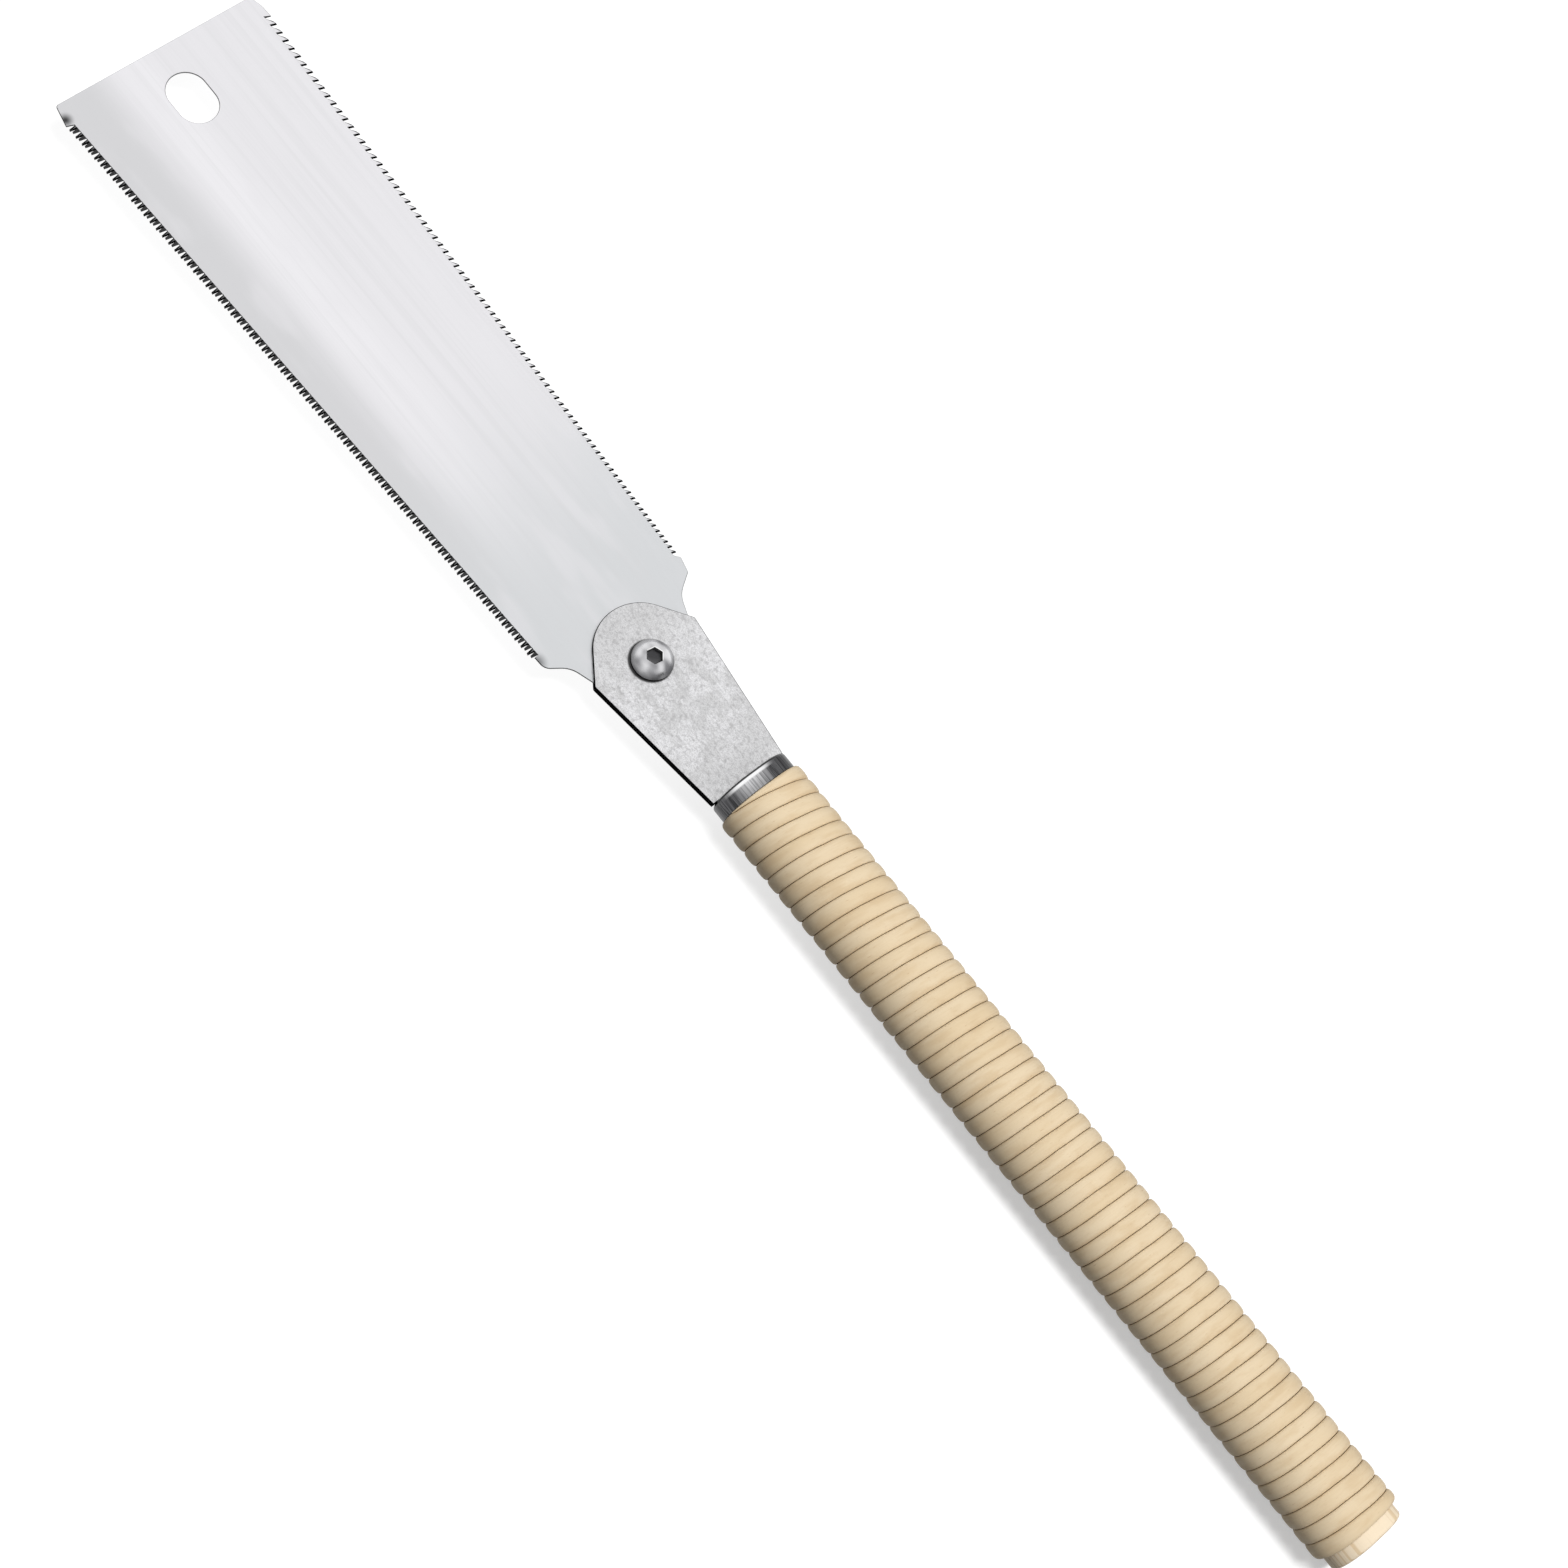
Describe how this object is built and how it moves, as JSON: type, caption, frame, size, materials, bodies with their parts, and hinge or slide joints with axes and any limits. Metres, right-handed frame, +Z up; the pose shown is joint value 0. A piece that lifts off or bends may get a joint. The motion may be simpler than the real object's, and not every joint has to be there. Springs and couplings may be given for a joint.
{
  "type": "double-edged pull saw",
  "caption": "Pull saw with a thin tapering blade toothed on both edges, screw-clamped between two steel leaves on a long oval handle wound with split rattan.",
  "frame": {"origin": "centre of the bounding box on the plane the handle lies on, with the saw lying flat", "axes": "+X from the blade's tip to the butt of the handle, +Y towards the coarse rip edge, +Z up through the blade towards the screw's head"},
  "size_m": [0.6056, 0.0803, 0.0264],
  "materials": {
    "blade_steel": "satin, finely brushed lengthwise",
    "zinc_sheet": "mottled zinc-coated sheet",
    "dark_steel": "plain steel",
    "screw_steel": "polished",
    "ferrule_steel": "dark, finely scratched",
    "core_wood": "bare sanded wood",
    "rattan": "smooth natural skin"
  },
  "bodies": {
    "handle": {"front_leaf": "zinc_sheet", "back_leaf": "zinc_sheet", "packing_strip": "dark_steel", "ferrule": "ferrule_steel", "handle_core": "core_wood", "tang_pin": "dark_steel", "rattan_wrap": "rattan"},
    "blade": {"blade": "blade_steel"},
    "screw": {"clamp_screw": "screw_steel"},
    "nut": {"clamp_nut": "screw_steel"}
  },
  "joints": [
    {"name": "blade_slide", "type": "slide", "parent": "handle", "child": "blade", "axis": [-1, 0, 0], "range_m": [0, 0.05]},
    {"name": "screw_turn", "type": "hinge", "parent": "handle", "child": "screw", "pos_m": [-0.04509, 0, 0.01295], "axis": [0, 0, 1], "range_deg": [0, 720]},
    {"name": "nut_travel", "type": "slide", "parent": "handle", "child": "nut", "axis": [0, 0, -1], "range_m": [0, 0.0026]}
  ],
  "couplings": [
    {"joint": "nut_travel", "follows": "screw_turn", "m_per_rad": 0.00019894}
  ]
}
